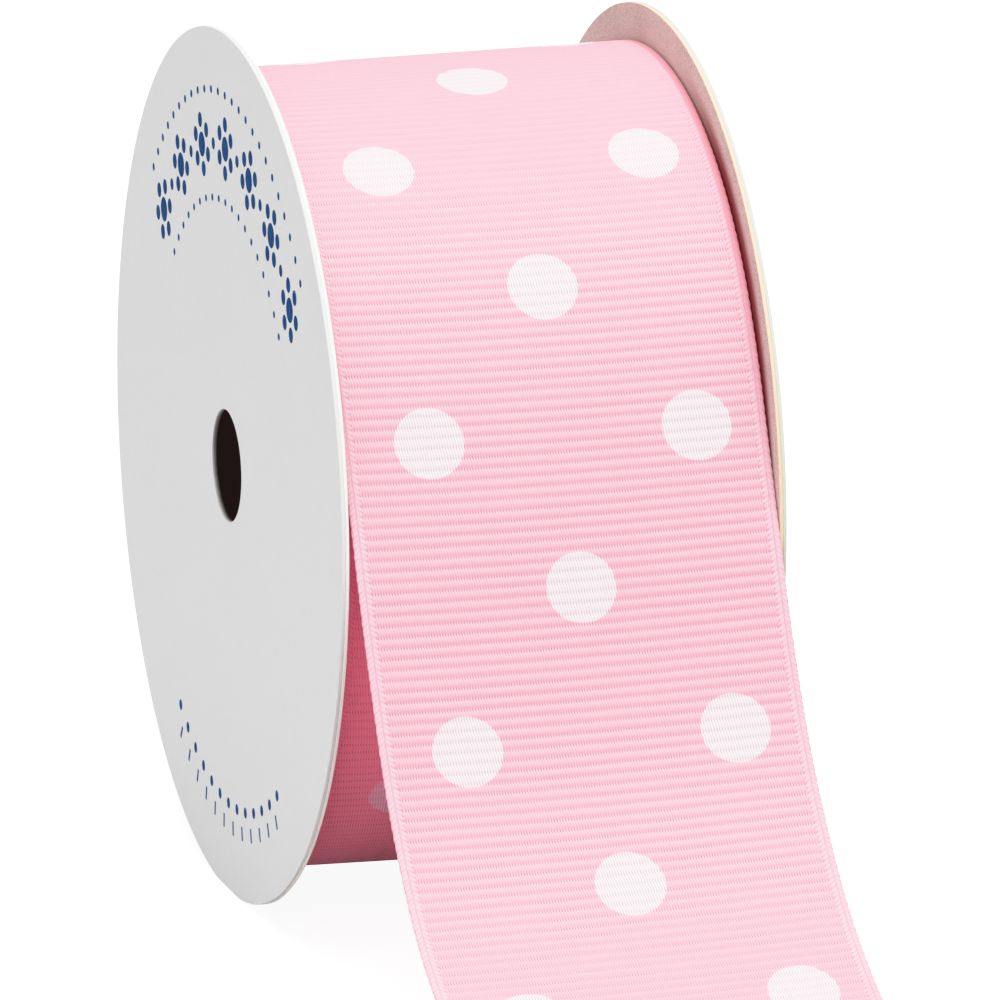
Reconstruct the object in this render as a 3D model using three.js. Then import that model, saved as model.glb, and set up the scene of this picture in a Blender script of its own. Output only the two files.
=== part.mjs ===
// A spool of grosgrain ribbon, standing on the rims of its two card flanges.
// The loose end of the ribbon leaves the roll at the front, sweeps down and lies on the surface.
// Millimetres, +Z up. The spool's axis runs along X and the loose end points to -Y.

import * as THREE from 'three';

// Driving dimensions
const ribbonWidth = 38.1;
const clearance = 0.3; // between pieces that touch on the real spool
const flangeDiameter = 78;
const flangeThickness = 0.5;
const flatSpot = 8; // chord of the small flat that each flange stands on
const spindleHole = 10;
const coreOuter = 27;
const coreInner = 25;
const rollRadius = 35.3; // over the last turn, at the top
const rollSag = 0.9; // the turns hang this much lower under the core
const sheetThickness = 1;
const liftAngle = 56.7; // from straight up, forward, where the loose end lifts off the roll
const flatRun = 24; // length of the cut end that lies on the surface

// The loose end, from the roll down. Each stretch bends evenly until the ribbon slopes this
// many degrees forward of straight down.
const looseEnd = [
  { length: 9, slope: 25.5 },
  { length: 16, slope: 22.5 },
  { length: 12, slope: 28 },
  { length: 16, slope: 46 },
  { length: 8, slope: 59 },
];

const rimSegments = 120;
const rollSegments = 120;
const boreSegments = 64;
const sheetStep = 2.5; // longest piece of the bent sheet

// Sizes worked out from them
const flangeRadius = flangeDiameter / 2;
const innerGap = ribbonWidth + 2 * clearance;
const axisHeight = Math.sqrt(flangeRadius ** 2 - (flatSpot / 2) ** 2);
const layerStep = sheetThickness + clearance;
const lift = THREE.MathUtils.degToRad(liftAngle);

const greyCard = new THREE.MeshStandardMaterial({ color: '#d8d8d8', roughness: 0.55, metalness: 0 });
const rawCard = new THREE.MeshStandardMaterial({ color: '#e6d3c3', roughness: 0.9, metalness: 0 });
const coreBoard = new THREE.MeshStandardMaterial({ color: '#4a3a30', roughness: 0.95, metalness: 0 });
const pinkRibbon = new THREE.MeshStandardMaterial({ color: '#f5b8cb', roughness: 0.75, metalness: 0 });

/** Extrudes a section, drawn as forward and up, along the spool's axis. */
function alongAxis(name, shape, length, start, material) {
  const geometry = new THREE.ExtrudeGeometry(shape, { depth: length, bevelEnabled: false });
  const mesh = new THREE.Mesh(geometry, material);
  mesh.name = name;
  mesh.position.z = start;
  return mesh;
}

/** A point at a radius and an angle from straight up, positive forward. */
function polar(radius, angle) {
  return new THREE.Vector2(radius * Math.sin(angle), radius * Math.cos(angle));
}

/** The corners of a round outline, clockwise as every outline here. */
function circle(radius) {
  return Array.from({ length: boreSegments }, (_, i) => polar(radius, 2 * Math.PI * i / boreSegments));
}

/** A round hole, which runs the other way. */
function bore(radius) {
  return new THREE.Path(circle(radius).reverse());
}

/** A card disc with its spindle hole, cut flat at the bottom where it stands. */
function flangeSection() {
  const halfFlat = Math.asin(flatSpot / 2 / flangeRadius);
  const start = Math.PI + halfFlat;
  const sweep = 2 * (Math.PI - halfFlat);
  const rim = [];
  for (let i = 0; i <= rimSegments; i += 1) {
    rim.push(polar(flangeRadius, start + sweep * i / rimSegments));
  }
  const shape = new THREE.Shape(rim);
  shape.holes.push(bore(spindleHole / 2));
  return shape;
}

/** The wall of the tube that carries both flanges. */
function coreSection() {
  const shape = new THREE.Shape(circle(coreOuter / 2));
  shape.holes.push(bore(coreInner / 2));
  return shape;
}

/** How far the wound turns hang below a true circle, at an angle from straight up. */
function sagAt(angle) {
  return rollSag * ((1 - Math.cos(angle)) / 2) ** 2;
}

/** The wound form: a spiral whose last turn ends in a step, where the loose end begins. */
function rollSection() {
  const points = [];
  for (let i = 0; i <= rollSegments; i += 1) {
    const turn = i / rollSegments;
    const angle = lift + 2 * Math.PI * turn;
    const radius = rollRadius - (1 - turn) * layerStep + sagAt(angle);
    points.push(polar(radius, angle));
  }
  const shape = new THREE.Shape(points);
  shape.holes.push(bore(coreOuter / 2 + clearance));
  return shape;
}

/** Walks down the loose end. Gives the points of its printed face, each with its slope. */
function looseEndPath() {
  const slopeAtLift = Math.PI / 2 - lift;
  const root = polar(rollRadius + sagAt(lift), lift);
  const walker = { forward: root.x, up: root.y, slope: slopeAtLift };
  const stations = [];

  const advance = (length) => {
    walker.forward += length * Math.sin(walker.slope);
    walker.up -= length * Math.cos(walker.slope);
  };
  const bend = (length, endSlope) => {
    const steps = Math.ceil(length / sheetStep);
    const turn = (endSlope - walker.slope) / steps;
    for (let i = 0; i < steps; i += 1) {
      walker.slope += turn / 2;
      advance(length / steps);
      walker.slope += turn / 2;
      stations.push({ ...walker });
    }
  };

  advance(clearance);
  stations.push({ ...walker });
  for (const { length, slope } of looseEnd) {
    bend(length, THREE.MathUtils.degToRad(slope));
  }

  // One even bend brings the sheet down flat on the surface, and its cut end lies there.
  const drop = walker.up + axisHeight - sheetThickness;
  const landingRadius = drop / (1 - Math.sin(walker.slope));
  bend(landingRadius * (Math.PI / 2 - walker.slope), Math.PI / 2);
  walker.up = sheetThickness - axisHeight;
  stations[stations.length - 1] = { ...walker };
  advance(flatRun);
  stations.push({ ...walker });
  return stations;
}

/** The loose end as a bent sheet: its printed face, and its back one thickness behind. */
function looseEndSection(stations) {
  const face = stations.map(({ forward, up }) => new THREE.Vector2(forward, up));
  const back = stations.map(({ forward, up, slope }) => new THREE.Vector2(
    forward - sheetThickness * Math.cos(slope),
    up - sheetThickness * Math.sin(slope),
  ));
  return new THREE.Shape([...face, ...back.reverse()]);
}

const stations = looseEndPath();
const reach = stations[stations.length - 1].forward;

// Inside this group X is forward, Y is up and Z runs along the axis to the near flange.
const spool = new THREE.Group();
spool.quaternion.setFromRotationMatrix(new THREE.Matrix4().makeBasis(
  new THREE.Vector3(0, -1, 0),
  new THREE.Vector3(0, 0, 1),
  new THREE.Vector3(-1, 0, 0),
));
spool.position.set(0, (reach - flangeRadius) / 2, axisHeight);

const flange = flangeSection();
const ribbonStart = -ribbonWidth / 2;
spool.add(
  alongAxis('near_flange', flange, flangeThickness, innerGap / 2, greyCard),
  alongAxis('far_flange', flange, flangeThickness, -innerGap / 2 - flangeThickness, rawCard),
  alongAxis('core_tube', coreSection(), ribbonWidth, ribbonStart, coreBoard),
  alongAxis('ribbon_roll', rollSection(), ribbonWidth, ribbonStart, pinkRibbon),
  alongAxis('ribbon_tail', looseEndSection(stations), ribbonWidth, ribbonStart, pinkRibbon),
);

// The origin is on the surface, under the middle of the whole object.
const part = new THREE.Group();
part.add(spool);

export default part;
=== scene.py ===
"""A spool of grosgrain ribbon: its cloth, card and board as fine meshes, in a plain pale studio.

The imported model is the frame. Lengths are in metres, +Z up, the spool's axis along X and the
loose end towards -Y. In the plane across the axis a place is given as forward and up.
"""

import logging
import math
from collections.abc import Callable
from dataclasses import dataclass
from enum import Enum

import bpy
import numpy as np
from mathutils import Matrix, Vector


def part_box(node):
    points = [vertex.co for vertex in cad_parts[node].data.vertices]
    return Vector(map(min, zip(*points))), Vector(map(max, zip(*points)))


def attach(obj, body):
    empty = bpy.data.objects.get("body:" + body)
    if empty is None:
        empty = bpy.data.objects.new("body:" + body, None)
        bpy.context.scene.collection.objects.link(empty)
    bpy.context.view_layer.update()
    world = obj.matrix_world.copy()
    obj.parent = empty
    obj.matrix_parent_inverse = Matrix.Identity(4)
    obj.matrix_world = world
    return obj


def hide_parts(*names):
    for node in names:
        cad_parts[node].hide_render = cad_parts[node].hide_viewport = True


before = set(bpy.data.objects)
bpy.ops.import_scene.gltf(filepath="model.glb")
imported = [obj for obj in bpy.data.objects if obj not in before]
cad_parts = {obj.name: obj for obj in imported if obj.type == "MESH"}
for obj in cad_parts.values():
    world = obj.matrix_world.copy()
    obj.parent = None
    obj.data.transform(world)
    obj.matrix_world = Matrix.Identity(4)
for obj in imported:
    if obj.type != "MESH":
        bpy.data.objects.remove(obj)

log = logging.getLogger("ribbon_spool")

MM = 0.001
BODY = "root"
SETTLED = 0.15 * MM  # how far the ribbon lies over towards the far flange
CORE_AIR = 0.05 * MM  # between the core and the first turn

Colour = tuple[float, float, float, float]
Span = tuple[float, float]  # two numbers that belong together, mostly a start and an end


class Slot(str, Enum):
    """The record's finishes, one for each kind of surface."""

    COATED_CARD = "coated_card"
    RAW_CARD = "raw_card"
    CORE_BOARD = "core_board"
    RIBBON = "ribbon"


class Side(Enum):
    """The two ends of the axis. The near flange shows its coated face to the camera."""

    NEAR = -1
    FAR = 1


def sign(operation: str, swapped: bool = False) -> Callable[["Value", object], "Value"]:
    """Make the method behind an arithmetic sign between values.

    Args:
        operation: The Math node's operation.
        swapped: Whether the other value comes first.

    Returns:
        The method.
    """
    def method(self: "Value", other: object) -> "Value":
        """Join two values in a Math node."""
        pair = (other, self) if swapped else (self, other)
        return self.net.math(operation, *pair)

    return method


class Value:
    """What comes out of a node. Signs between two numbers add Math nodes."""

    def __init__(self, net: "Graph", socket: bpy.types.NodeSocket) -> None:
        """Wrap an output.

        Args:
            net: The tree that it is in.
            socket: The output.
        """
        self.net = net
        self.socket = socket

    __add__ = __radd__ = sign("ADD")
    __mul__ = __rmul__ = sign("MULTIPLY")
    __sub__ = sign("SUBTRACT")
    __rsub__ = sign("SUBTRACT", swapped=True)
    __truediv__ = sign("DIVIDE")
    __rtruediv__ = sign("DIVIDE", swapped=True)
    __pow__ = sign("POWER")
    __gt__ = sign("GREATER_THAN")
    __lt__ = sign("LESS_THAN")
    least = sign("MINIMUM")
    most = sign("MAXIMUM")
    zigzag = sign("PINGPONG")

    def __abs__(self) -> "Value":
        """Drop the sign."""
        return self.net.math("ABSOLUTE", self)


class Graph:
    """A node tree under construction, for a shader or for Geometry Nodes."""

    def __init__(self, tree: bpy.types.NodeTree) -> None:
        """Start on an empty tree.

        Args:
            tree: The tree to fill.
        """
        self.tree = tree

    def add(self, kind: str, inputs: dict | None = None, **settings) -> bpy.types.Node:
        """Add a node.

        Args:
            kind: The node's type name.
            inputs: What feeds each input, by its name or number.
            **settings: The node's own options.

        Returns:
            The new node.
        """
        node = self.tree.nodes.new(kind)
        for name, setting in settings.items():
            setattr(node, name, setting)
        for key, source in (inputs or {}).items():
            self.feed(node.inputs[key], source)
        return node

    def value(self, kind: str, inputs: dict | None = None, output: int | str = 0, **settings) -> Value:
        """Add a node for what comes out of it.

        Args:
            kind: The node's type name.
            inputs: What feeds each input, by its name or number.
            output: Which output.
            **settings: The node's own options.

        Returns:
            That output.
        """
        return Value(self, self.add(kind, inputs, **settings).outputs[output])

    def feed(self, socket: bpy.types.NodeSocket, source) -> None:
        """Give an input what it reads.

        Args:
            socket: The input.
            source: A value, a node with one main output, or a constant.
        """
        if isinstance(source, bpy.types.Node):
            source = Value(self, source.outputs[0])
        if isinstance(source, Value):
            self.tree.links.new(source.socket, socket)
        else:
            socket.default_value = source

    def math(self, operation: str, *values) -> Value:
        """Add a Math node.

        Args:
            operation: The operation's name.
            *values: Its inputs, in order.

        Returns:
            The result.
        """
        return self.value("ShaderNodeMath", dict(enumerate(values)), operation=operation)

    def vector(self, operation: str, first, second) -> Value:
        """Add a Vector Math node that gives a vector.

        Args:
            operation: The operation's name.
            first: A vector.
            second: A vector, or a number for SCALE.

        Returns:
            The result.
        """
        key = "Scale" if operation == "SCALE" else 1
        return self.value("ShaderNodeVectorMath", {0: first, key: second}, operation=operation)

    def xyz(self, x=0.0, y=0.0, z=0.0) -> Value:
        """Join three numbers to a vector.

        Args:
            x: Along X.
            y: Along Y.
            z: Along Z.

        Returns:
            The vector.
        """
        return self.value("ShaderNodeCombineXYZ", {0: x, 1: y, 2: z})

    def parts(self, vector) -> list[Value]:
        """Split a vector.

        Args:
            vector: The vector.

        Returns:
            Its three numbers.
        """
        return [Value(self, part) for part in self.add("ShaderNodeSeparateXYZ", {0: vector}).outputs]

    def ramp(self, value, start, end, low=0.0, high=1.0) -> Value:
        """Ease smoothly from one value to another.

        Args:
            value: What is measured.
            start: Where the change starts.
            end: Where it ends.
            low: The result at the start.
            high: The result at the end.

        Returns:
            The eased value.
        """
        inputs = {"Value": value, "From Min": start, "From Max": end, "To Min": low, "To Max": high}
        return self.value("ShaderNodeMapRange", inputs, interpolation_type="SMOOTHSTEP")

    def wave(self, turns) -> Value:
        """Give the cosine of a count of turns.

        Args:
            turns: The count.

        Returns:
            1 at each whole turn, -1 half way between.
        """
        return self.math("COSINE", turns * (2 * math.pi))

    def arch(self, count) -> Value:
        """Rise from 0 to 1 and fall back over each whole step of a count.

        Args:
            count: The count.

        Returns:
            The arches.
        """
        return self.math("SINE", self.math("FRACT", count) * math.pi)

    def noise(self, where, size: float, detail: float = 2.0) -> Value:
        """Add a soft random pattern.

        Args:
            where: The place.
            size: The size of its blots, in the unit of the place.
            detail: How many finer octaves it has.

        Returns:
            The pattern, about 0 to 1.
        """
        return self.value("ShaderNodeTexNoise", {"Vector": where, "Scale": 1 / size, "Detail": detail})


class Shader(Graph):
    """A material with one glossy shader, whose colour and bump are built node by node."""

    def __init__(self, name: str, roughness: float, level: float, sheen: float = 0.0) -> None:
        """Make the material and its shader.

        Args:
            name: The material's name.
            roughness: The shader's roughness.
            level: How strong its mirror reflection is, 0.5 for most things.
            sheen: How much soft cloth sheen it has.
        """
        self.material = bpy.data.materials.new(name)
        self.material.use_nodes = True
        super().__init__(self.material.node_tree)
        self.tree.nodes.clear()
        inputs = {
            "Roughness": roughness,
            "Specular IOR Level": level,
            "Sheen Weight": sheen,
            "Sheen Roughness": 0.5,
        }
        self.surface = self.add("ShaderNodeBsdfPrincipled", inputs)
        self.add("ShaderNodeOutputMaterial", {"Surface": self.surface})

    def blend(self, share, first, second) -> Value:
        """Mix two colours.

        Args:
            share: How much of the second.
            first: The first colour.
            second: The second colour.

        Returns:
            The mixed colour.
        """
        return self.value("ShaderNodeMix", {0: share, 6: first, 7: second}, output=2, data_type="RGBA")

    def place(self) -> Value:
        """Give the place on the piece, in millimetres."""
        where = self.value("ShaderNodeTexCoord", output="Object")
        return self.vector("SCALE", where, 1 / MM)

    def round_axis(self, centre: Vector) -> list[Value]:
        """Give the place on the piece as seen from the spool's axis, in millimetres.

        Args:
            centre: The middle of the spool.

        Returns:
            The places along X, to the back and up.
        """
        x, y, z = self.parts(self.place())
        return [x, y - centre.y / MM, z - centre.z / MM]

    def glow(self, colour, strength: float = 1.0) -> None:
        """Let the surface show light of its own.

        Args:
            colour: Its colour.
            strength: How strong it is.
        """
        self.feed(self.surface.inputs["Emission Color"], colour)
        self.feed(self.surface.inputs["Emission Strength"], strength)

    def finish(self, colour, height=None, depth: float = 0.0) -> bpy.types.Material:
        """Connect the colour, and a bump where the finish has one.

        Args:
            colour: The base colour.
            height: The relief, 0 to 1.
            depth: How deep the relief is, in metres.

        Returns:
            The finished material.
        """
        self.feed(self.surface.inputs["Base Color"], colour)
        if height is not None:
            bump = self.add("ShaderNodeBump", {"Height": height, "Distance": depth, "Strength": 1.0})
            self.feed(self.surface.inputs["Normal"], bump)
        return self.material


class Relief(Graph):
    """A Geometry Nodes tree with named inputs, run on a piece and then made a plain mesh."""

    def __init__(self, name: str) -> None:
        """Make the tree with its geometry sockets.

        Args:
            name: The tree's name.
        """
        super().__init__(bpy.data.node_groups.new(name, "GeometryNodeTree"))
        for way in ("INPUT", "OUTPUT"):
            self.tree.interface.new_socket("Geometry", in_out=way, socket_type="NodeSocketGeometry")
        self.sizes: dict[str, object] = {}
        self.start = self.add("NodeGroupInput")

    def size(self, name: str, value) -> Value:
        """Declare a named input and give its value.

        Args:
            name: The input's name.
            value: A float, an int, a vector or a material.

        Returns:
            What the tree reads there.
        """
        kinds = {float: "Float", int: "Int", Vector: "Vector", bpy.types.Material: "Material"}
        kind = "NodeSocket" + kinds[type(value)]
        socket = self.tree.interface.new_socket(name, in_out="INPUT", socket_type=kind)
        self.sizes[socket.identifier] = value
        return Value(self, self.start.outputs[socket.identifier])

    def read(self, name: str, kind: str = "FLOAT") -> Value:
        """Read a named attribute.

        Args:
            name: The attribute's name.
            kind: Its type.

        Returns:
            Its value.
        """
        return self.value("GeometryNodeInputNamedAttribute", {"Name": name}, data_type=kind)

    def finish(self, geometry, material: bpy.types.Material) -> "Relief":
        """End the tree in Realize Instances and Set Material.

        Args:
            geometry: The geometry so far.
            material: The material.

        Returns:
            The finished tree.
        """
        whole = self.add("GeometryNodeRealizeInstances", {"Geometry": geometry})
        inputs = {"Geometry": whole, "Material": self.size("Material", material)}
        self.add("NodeGroupOutput", {"Geometry": self.add("GeometryNodeSetMaterial", inputs)})
        return self

    def run(self, mesh: bpy.types.Mesh, name: str) -> bpy.types.Object:
        """Run the tree on a mesh, and keep the result as a plain mesh.

        Args:
            mesh: The mesh that goes in.
            name: The piece's name.

        Returns:
            The piece.
        """
        piece = new_piece(name, mesh)
        modifier = piece.modifiers.new("shape", "NODES")
        modifier.node_group = self.tree
        for identifier, value in self.sizes.items():
            modifier[identifier] = value
        drawn = piece.evaluated_get(bpy.context.evaluated_depsgraph_get())
        plain = bpy.data.meshes.new_from_object(drawn)
        piece.modifiers.clear()
        piece.data = plain
        plain.name = name
        return piece


def new_piece(name: str, mesh: bpy.types.Mesh) -> bpy.types.Object:
    """Put a mesh into the scene, at the origin.

    Args:
        name: The piece's name.
        mesh: Its mesh.

    Returns:
        The piece.
    """
    piece = bpy.data.objects.new(name, mesh)
    bpy.context.scene.collection.objects.link(piece)
    return piece


def fit(piece: bpy.types.Object, slot: Slot, *nodes: str) -> None:
    """Fix a piece to the spool, and hide the nodes that it replaces.

    Args:
        piece: The piece.
        slot: Not used.
        *nodes: The nodes that it replaces.
    """
    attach(piece, BODY)
    if nodes:
        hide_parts(*nodes)
    log.info("%s: %d faces", piece.name, len(piece.data.polygons))


def ease(values: np.ndarray, start: float, end: float) -> np.ndarray:
    """Ease smoothly from 0 to 1.

    Args:
        values: What is measured.
        start: Where it is still 0.
        end: Where it reaches 1.

    Returns:
        The eased values.
    """
    share = np.clip((values - start) / (end - start), 0, 1)
    return share * share * (3 - 2 * share)


def round_turn(segments: int) -> np.ndarray:
    """Share out the angles of one turn, one to a row."""
    return np.linspace(0, 2 * math.pi, segments, endpoint=False)[:, None]


def ring_faces(rings: int, points: int) -> np.ndarray:
    """Number the corners of the faces between rings of points, the last ring joined to the first.

    Args:
        rings: How many rings there are.
        points: How many points each has.

    Returns:
        The four corners of each face, by ring and by point.
    """
    here = np.arange(rings * points).reshape(rings, points)
    ahead = np.roll(here, -1, axis=0)
    return np.stack([here, np.roll(here, -1, axis=1), np.roll(ahead, -1, axis=1), ahead], axis=-1)


def smooth_mesh(name: str, points: np.ndarray, faces: list[list[int]], crease: float) -> bpy.types.Mesh:
    """Make a smooth mesh whose creases stay sharp.

    Args:
        name: Its name.
        points: Its points, in any number of rows.
        faces: The corners of each face.
        crease: The angle in degrees from which an edge is a crease.

    Returns:
        The mesh.
    """
    mesh = bpy.data.meshes.new(name)
    mesh.from_pydata(points.reshape(-1, 3).tolist(), [], faces)
    mesh.polygons.foreach_set("use_smooth", np.ones(len(mesh.polygons), dtype=bool))
    mesh.set_sharp_from_angle(angle=math.radians(crease))
    return mesh


@dataclass(frozen=True)
class Weave:
    """The sizes of the cloth that its mesh and its material share.

    The slant of the warp threads is in threads for each rib, and the drift of the print is in
    metres across for each metre along.
    """

    width: float
    thickness: float = 0.36 * MM
    rib_pitch: float = 0.946 * MM
    rib_bow: float = 0.313 * MM
    selvedge: float = 1.15 * MM
    warp_pitch: float = 0.245 * MM
    warp_slant: float = 0.7
    dot_radius: float = 3.13 * MM
    dot_offset: float = 0.86 * MM
    dot_column: float = 11.99 * MM
    dot_row: float = 13.45 * MM
    first_row: float = 19.6 * MM
    print_drift: float = -0.004

    def bow(self, across: np.ndarray) -> np.ndarray:
        """How far a rib runs ahead of its ends.

        Args:
            across: Places across the cloth, from its middle.

        Returns:
            The lead at each place.
        """
        return self.rib_bow * (1 - (2 * across / self.width) ** 2)


@dataclass(frozen=True)
class GrosgrainFinish:
    """Pink ribbed weave with smooth selvedges and white dots printed over it.

    Places and lengths are in millimetres here, and places within a rib are shares of its pitch.
    """

    ridge: Colour = (0.88, 0.376, 0.442, 1.0)
    # Painted shade: a darker pink in the troughs, strongest on the side of each rib towards the cut end,
    # the lower side where the ribbon hangs.
    valley_shade: Colour = (0.864, 0.341, 0.407, 1.0)
    # Painted highlight: a lighter pink for the threads where they climb onto a rib.
    thread_highlight: Colour = (0.905, 0.402, 0.48, 1.0)
    # Painted shade for the gaps between warp threads; the same colour draws the selvedge's cords and
    # stitches.
    gap_shade_and_stitches: Colour = (0.21, 0.07, 0.135, 1.0)
    selvedge: Colour = (0.90, 0.435, 0.50, 1.0)
    # Painted shade for the roll's edges next to the flanges.
    edge_shade: Colour = (0.76, 0.15, 0.19, 1.0)
    # Painted shade: a tint over the turn behind the loose end.
    covered_shade: tuple[float, float, float] = (0.98, 0.53, 0.67)
    # Painted light: the glow of the turn behind the loose end.
    glow: Colour = (0.15, 0.026, 0.046, 1.0)
    ink: Colour = (0.84, 0.665, 0.71, 1.0)
    # Painted shade for the gaps between threads inside the dots.
    ink_gap_shade: Colour = (0.16, 0.13, 0.15, 1.0)
    roughness: float = 0.62
    gloss: float = 0.3
    sheen: float = 0.12
    bump: float = 0.03 * MM

    rib_start: float = -0.75
    valley_shade_at: float = 0.3
    threads_at: float = -0.48
    threads_show: Span = (0.45, 0.98)
    thread_gap: Span = (0.74, 0.3)
    thread_drift: float = 1.6
    drift_size: float = 9.0
    patch_size: float = 2.6
    patch_stretch: float = 0.35
    patch_fade: Span = (0.35, 0.65)
    patch_least: float = 0.45
    cloud_size: float = 5.0
    cloud_stretch: float = 0.15
    cloud_fade: Span = (0.3, 0.75)
    cloud_strength: float = 0.3
    hidden_ticks: float = 0.24
    selvedge_ticks: float = 0.3
    selvedge_valley_shade: float = 0.2
    tick_strength: float = 0.74
    gap_depth: float = 0.6

    band_fade: Span = (-0.12, 0.1)
    cord_line: float = 0.56
    cord_lean: float = 1.5
    cord_gap: Span = (0.55, 0.15)
    cord_depth: float = 0.8
    seam_width: Span = (0.1, 0.02)
    cord_strength: float = 0.34
    stitch_line: float = 0.05
    stitch_width: Span = (0.11, 0.04)
    stitch_lean: float = 2.2
    stitch_gap: Span = (0.7, 0.3)
    stitch_strength: float = 0.42

    edge_shade_reach: Span = (-1.45, 0.1)
    edge_shade_along: Span = (58.0, 18.0)
    edge_shade_strength: float = 0.85
    covered_shade_along: Span = (-112.0, -135.0)
    painted_glow_along: Span = (-136.0, -162.0)
    dot_edge: float = 0.05
    dot_fray: float = 0.08
    dot_ticks_fade: Span = (-0.6, 0.8)
    dot_ticks_strength: Span = (0.38, 0.56)

    def material(self, weave: Weave) -> bpy.types.Material:
        """Make the cloth from its own map, across and along in metres.

        Args:
            weave: The cloth's sizes.

        Returns:
            The material.
        """
        net = Shader("pink_grosgrain", self.roughness, self.gloss, self.sheen)
        cloth_map = net.value("ShaderNodeUVMap", uv_map="cloth")
        across, along, _ = net.parts(net.vector("SCALE", cloth_map, 1 / MM))
        half = weave.width / 2 / MM
        edge = half - weave.selvedge / MM

        away = abs(across)
        lead = (1.0 - (away / half) ** 2.0) * (weave.rib_bow / MM)
        phase = (along - lead) / (weave.rib_pitch / MM)
        rib = net.math("FLOOR", phase - self.rib_start)
        into = phase - rib
        inward = away - edge
        band = net.ramp(inward, *self.band_fade)
        body = 1.0 - band

        # The warp threads that cover one rib lie half a pitch beside those of the next.
        drift = net.noise(net.xyz(across, along), self.drift_size, detail=1.0)
        columns = across / (weave.warp_pitch / MM) + rib * 0.5
        columns = columns - into * weave.warp_slant + drift * self.thread_drift
        gap = net.ramp(net.arch(columns), *self.thread_gap)

        # Where they climb onto a rib the threads get a painted highlight, with dark ticks of painted
        # shade in the gaps between them.
        start = net.wave(into - self.threads_at)
        patchy = net.noise(net.xyz(across * self.patch_stretch, along), self.patch_size, detail=1.0)
        patchy = net.ramp(patchy, *self.patch_fade, self.patch_least, 1.0)
        threads = net.ramp(start, *self.threads_show) * patchy * body
        shown = threads * (1 - self.hidden_ticks) + self.hidden_ticks
        ticks = gap * shown * (body * (1 - self.selvedge_ticks) + self.selvedge_ticks)
        # Painted shade in the troughs of the ribs; the clouds are darker tone at random.
        valley_shade = net.wave(into - self.valley_shade_at) * 0.5 + 0.5
        valley_shade = valley_shade * (body * (1 - self.selvedge_valley_shade) + self.selvedge_valley_shade)
        cloud = net.noise(net.xyz(across * self.cloud_stretch, along), self.cloud_size)
        deeper = valley_shade.most(net.ramp(cloud, *self.cloud_fade, 0.0, self.cloud_strength))
        braid, stitch = self.selvedge_marks(net, inward, phase)

        cloth = net.blend(band, self.ridge, self.selvedge)
        cloth = net.blend(deeper, cloth, self.valley_shade)
        cloth = net.blend(threads, cloth, self.thread_highlight)
        cloth = net.blend(ticks * self.tick_strength, cloth, self.gap_shade_and_stitches)
        marks = (braid * band * self.cord_strength).most(stitch * self.stitch_strength)
        cloth = net.blend(marks, cloth, self.gap_shade_and_stitches)

        # Painted shade: the edges are drawn a darker pink near the flanges, on the roll only.
        edge_shade = net.ramp(away, *(half + place for place in self.edge_shade_reach))
        edge_shade = edge_shade * net.ramp(along, *self.edge_shade_along)
        cloth = net.blend(edge_shade * self.edge_shade_strength, cloth, self.edge_shade)

        printed = net.value("ShaderNodeAttribute", output="Fac", attribute_name="printed")
        # Painted shade in the gaps between threads shows through the dots too.
        specks = gap * net.ramp(start, *self.dot_ticks_fade, *self.dot_ticks_strength)
        ink = net.blend(specks, self.ink, self.ink_gap_shade)
        colour = net.blend(self.dots(net, weave, across, along, gap) * printed, cloth, ink)

        # Painted shade and painted light: the turn behind the loose end is tinted darker all over, dots
        # too, and given a faint glow of its own.
        deep = net.vector("MULTIPLY", colour, self.covered_shade)
        colour = net.blend(net.ramp(along, *self.covered_shade_along), colour, deep)
        net.glow(net.blend(net.ramp(along, *self.painted_glow_along), (0.0, 0.0, 0.0, 1.0), self.glow))
        return net.finish(colour, 1.0 - (gap * self.gap_depth).most(stitch), self.bump)

    def selvedge_marks(self, net: Shader, inward: Value, phase: Value) -> tuple[Value, Value]:
        """Draw the selvedge: two cords of slanting stitches, and a row of small ones inside them.

        Args:
            net: The material under construction.
            inward: The place across, from the selvedge's inner line outwards.
            phase: The place along, in ribs.

        Returns:
            The cords' seams, and the small stitches.
        """
        lean = (inward > self.cord_line) * -2.0 + 1.0
        slanting = inward * lean * self.cord_lean + phase * 2.0
        seam = net.ramp(abs(inward - self.cord_line), *self.seam_width)
        braid = (net.ramp(net.arch(slanting), *self.cord_gap) * self.cord_depth).most(seam)
        line = net.ramp(abs(inward - self.stitch_line), *self.stitch_width)
        small = net.arch(inward * self.stitch_lean + phase * 2.0)
        return braid, line * net.ramp(small, *self.stitch_gap)

    def dots(self, net: Shader, weave: Weave, across: Value, along: Value, gap: Value) -> Value:
        """Lay out the printed dots: two beside each other, then one between them.

        Args:
            net: The material under construction.
            weave: The cloth's sizes.
            across: The place across.
            along: The place along.
            gap: 1 between two warp threads.

        Returns:
            1 inside a dot.
        """
        column, row, radius = weave.dot_column / MM, weave.dot_row / MM, weave.dot_radius / MM
        ahead = along - weave.first_row / MM
        drifted = across - ahead.most(0.0) * weave.print_drift
        odd = ((drifted - weave.dot_offset / MM) / column + 1.0).zigzag(1.0)
        even = (ahead / row).zigzag(1.0)
        lattices = (odd, even), (1.0 - odd, 1.0 - even)
        one, other = (((x * column) ** 2.0 + (y * row) ** 2.0) ** 0.5 for x, y in lattices)
        nearest = one.least(other) + gap * self.dot_fray
        return net.ramp(nearest, radius + self.dot_edge, radius - self.dot_edge)


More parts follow.
